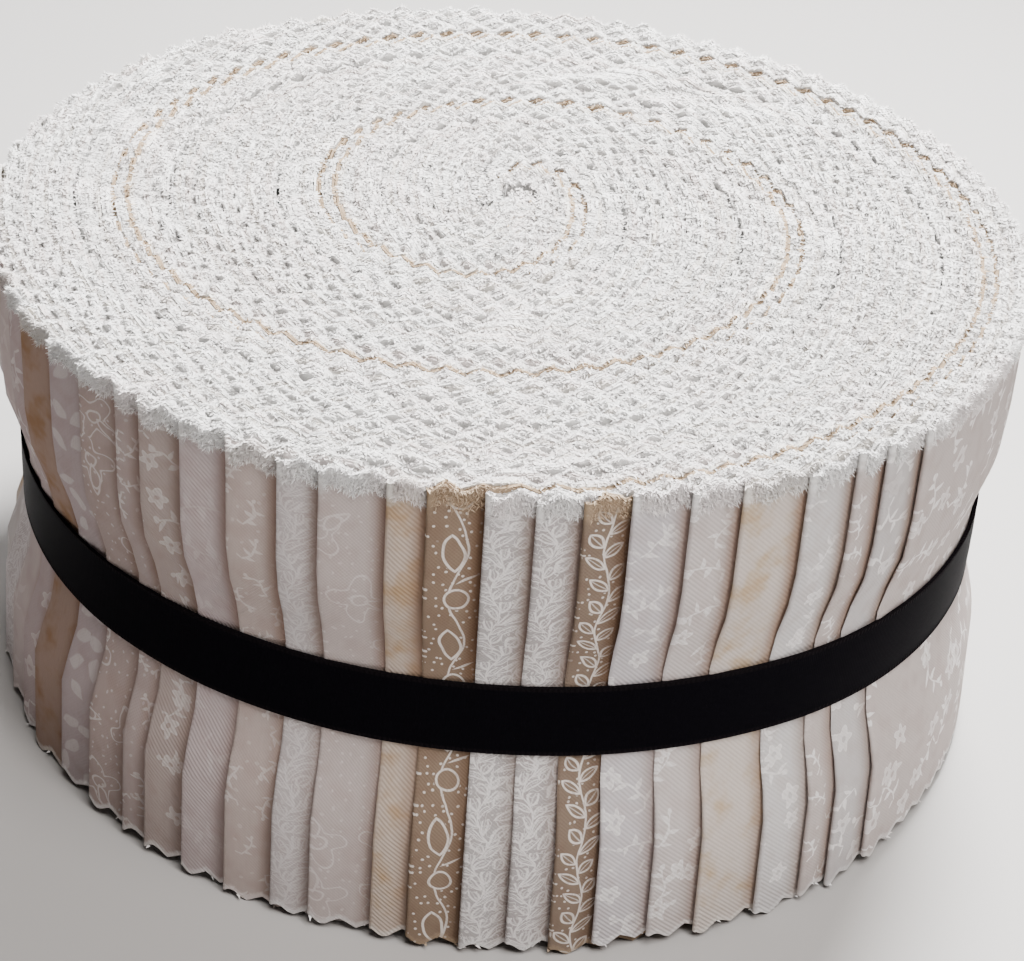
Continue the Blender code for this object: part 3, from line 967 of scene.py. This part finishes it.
def makeRibbon():
    # a band round the waist: radius of the pressed outline, plus its own thickness over the lap
    r, b = rollSettings, ribbonSettings
    turned = np.linspace(0, math.tau + math.radians(b["lapAngle"]), b["columns"])
    angle = math.radians(b["lapStart"]) - turned
    ramp = math.radians(b["lapRamp"])
    climb = smoothStep(math.tau - ramp, math.tau, turned)
    pressed = -r["pressFrom"] + (1 - r["waistPress"]) * (r["pressFrom"] + b["proud"]) - r["waistDepth"]
    radius = outlineRadius(angle) + pressed + b["clear"] + (b["thickness"] + 0.06) * climb
    radius = radius + b["slack"] * wobble(turned * 20, 3.0, 71)
    share = np.linspace(-0.5, 0.5, b["rows"])
    # the band bows a little between its woven edges and its height wanders
    level = waistLevel(angle) + b["wander"] * wobble(turned * 10, 6.0, 72)
    height = level[:, None] + share[None, :] * r["ribbonWidth"]
    uneven = 0.6 + 0.4 * wobble(turned * 10, 2.4, 73)
    bow = b["bow"] * (1 - (2 * share) ** 2)[None, :] * uneven[:, None]
    edge = b["edgeRib"] * (np.abs(share) > 0.46)[None, :]
    sheets = []
    for out in (0.0, b["thickness"]):
        full = radius[:, None] + bow + out + edge * (1 if out else -1)
        sheets.append(np.stack((full * np.sin(angle)[:, None], -full * np.cos(angle)[:, None],
                                np.broadcast_to(height, full.shape)), -1))
    points = np.concatenate([sheet.reshape(-1, 3) for sheet in sheets])
    columns, rows = b["columns"], b["rows"]
    inner = np.arange(columns * rows).reshape(columns, rows)
    outer = inner + columns * rows
    blocks = [gridFaces(outer)[:, ::-1], gridFaces(inner)]
    for rim, flip in ((0, True), (rows - 1, False)):
        faces = gridFaces(np.stack((inner[:, rim], outer[:, rim]), 1))
        blocks.append(faces if flip else faces[:, ::-1])
    for end, flip in ((0, False), (columns - 1, True)):
        faces = gridFaces(np.stack((inner[end], outer[end]), 1))
        blocks.append(faces if flip else faces[:, ::-1])
    along = np.tile(np.repeat(turned * r["radius"], rows), 2)
    up = np.tile(np.tile(share * r["ribbonWidth"], columns), 2)
    corners = np.concatenate([block.ravel() for block in blocks])
    piece = makeMesh("satin_ribbon", points, blocks, {"weave": np.column_stack((along, up))[corners]})
    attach(piece, "root")
    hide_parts("ribbon")
    flatLength = along.max() * mm * (radius.mean() / r["radius"])
    return piece


satinSettings = {
    "dark": (0.0020, 0.0018, 0.0026), "light": (0.0042, 0.0038, 0.0056), "edge": (0.006, 0.005, 0.006),
    "ribPitch": 0.30, "beadPitch": 0.62, "edgeFrom": 4.05, "edgeTo": 4.35,   # mm
}


def satin():
    # black satin: long floats along the band, fine cross ribs, firm woven edges
    c = satinSettings
    kit = Finish("black_satin", IOR=1.03)
    along, up, _ = kit.split(kit.node("UVMap", {"uv_map": "weave"}).outputs[0])
    floats = kit.noise(kit.join(along * 0.5, up * 7.0), 1.0, 3.0, 0.6)
    ribs = (along * (math.tau / c["ribPitch"])).maths("SINE")
    edge = kit.step(c["edgeFrom"], c["edgeTo"], abs(up))
    beads = (along * (math.tau / c["beadPitch"])).maths("SINE") * edge
    colour = kit.mix(floats, c["dark"], c["light"])
    colour = kit.mix(edge, colour, c["edge"])
    relief = floats * 0.6 + ribs * 0.18 * (1 - edge) + beads * 1.6
    return kit.surface(colour, floats * 0.14 + edge * 0.2 + 0.36, kit.bump(relief, 0.30, 0.00010))


print("stage: ribbon")
ribbon = makeRibbon()
ribbon.data.materials.append(satin())


# Floor, light and camera

stageSettings = {
    "floorSize": 4.0, "floorColour": (0.43, 0.42, 0.413),
    "world": (0.90, 0.74, 0.66), "worldStrength": 0.04,
    # name: place, aim, size, power and colour of each soft light, in metres and watts
    "key": ((0.10, 0.18, 0.40), (0.0, -0.01, 0.06), 0.12, 10.0, (1.0, 0.99, 0.975)),
    "fill": ((0.27, -0.34, 0.47), (0.0, 0.0, 0.05), 0.16, 1.6, (1.0, 0.94, 0.905)),
    "over": ((0.15, -0.30, 0.75), (0.0, -0.10, 0.0), 0.45, 6.5, (1.0, 0.965, 0.935)),
    "back": ((0.0, 0.85, 0.75), (0.0, 0.70, 0.0), 0.50, 6.0, (1.0, 1.0, 1.0)),
}
cameraSettings = {
    "place": (0.00262, -0.28290, 0.20579), "turn": 0.12, "pitch": 32.76, "roll": 3.92,
    "lens": 88.9242, "sensor": 36.0,   # focal length and width, mm
}


def floor():
    size = stageSettings["floorSize"] / mm / 2
    table = np.linspace(-size, size, 9)
    x, y = np.meshgrid(table, table, indexing="ij")
    points = np.stack((x, y, 0 * x - 0.02), -1).reshape(-1, 3)
    piece = makeMesh("floor", points, [gridFaces(np.arange(x.size).reshape(x.shape))], sharp=0)
    kit = Finish("pale_floor")
    place = kit.node("TexCoord").outputs["Object"]
    cloud = kit.noise(place, 3.0, 1.0)
    pale = stageSettings["floorColour"]
    colour = kit.mix(cloud, pale, times(pale, 0.97))
    piece.data.materials.append(kit.surface(colour, cloud * 0.1 + 0.75))


def softLight(name):
    place, aim, size, power, colour = stageSettings[name]
    data = bpy.data.lights.new(name, "AREA")
    data.shape, data.size, data.energy, data.color = "DISK", size, power, colour
    light = bpy.data.objects.new(name, data)
    light.location = place
    light.rotation_euler = (Vector(aim) - Vector(place)).to_track_quat("-Z", "Y").to_euler()
    bpy.context.scene.collection.objects.link(light)


def world():
    made = bpy.data.worlds.new("soft_room")
    made.use_nodes = True
    back = made.node_tree.nodes["Background"]
    back.inputs[0].default_value = (*stageSettings["world"], 1.0)
    back.inputs[1].default_value = stageSettings["worldStrength"]
    bpy.context.scene.world = made


def camera():
    c = cameraSettings
    data = bpy.data.cameras.new("camera")
    data.sensor_width, data.lens = c["sensor"], c["lens"]
    data.clip_start, data.clip_end = 0.01, 20.0
    made = bpy.data.objects.new("camera", data)
    turn, pitch = math.radians(c["turn"]), math.radians(c["pitch"])
    back = Vector((math.sin(turn) * math.cos(pitch), -math.cos(turn) * math.cos(pitch), math.sin(pitch)))
    right = Vector((0, 0, 1)).cross(back).normalized()
    axes = Matrix((right, back.cross(right), back)).transposed().to_4x4()
    roll = Matrix.Rotation(math.radians(c["roll"]), 4, "Z")
    made.matrix_world = Matrix.Translation(c["place"]) @ axes @ roll
    bpy.context.scene.collection.objects.link(made)
    bpy.context.scene.camera = made


print("stage: floor, light and camera")
floor()
world()
for lightName in ("key", "fill", "over", "back"):
    softLight(lightName)
camera()
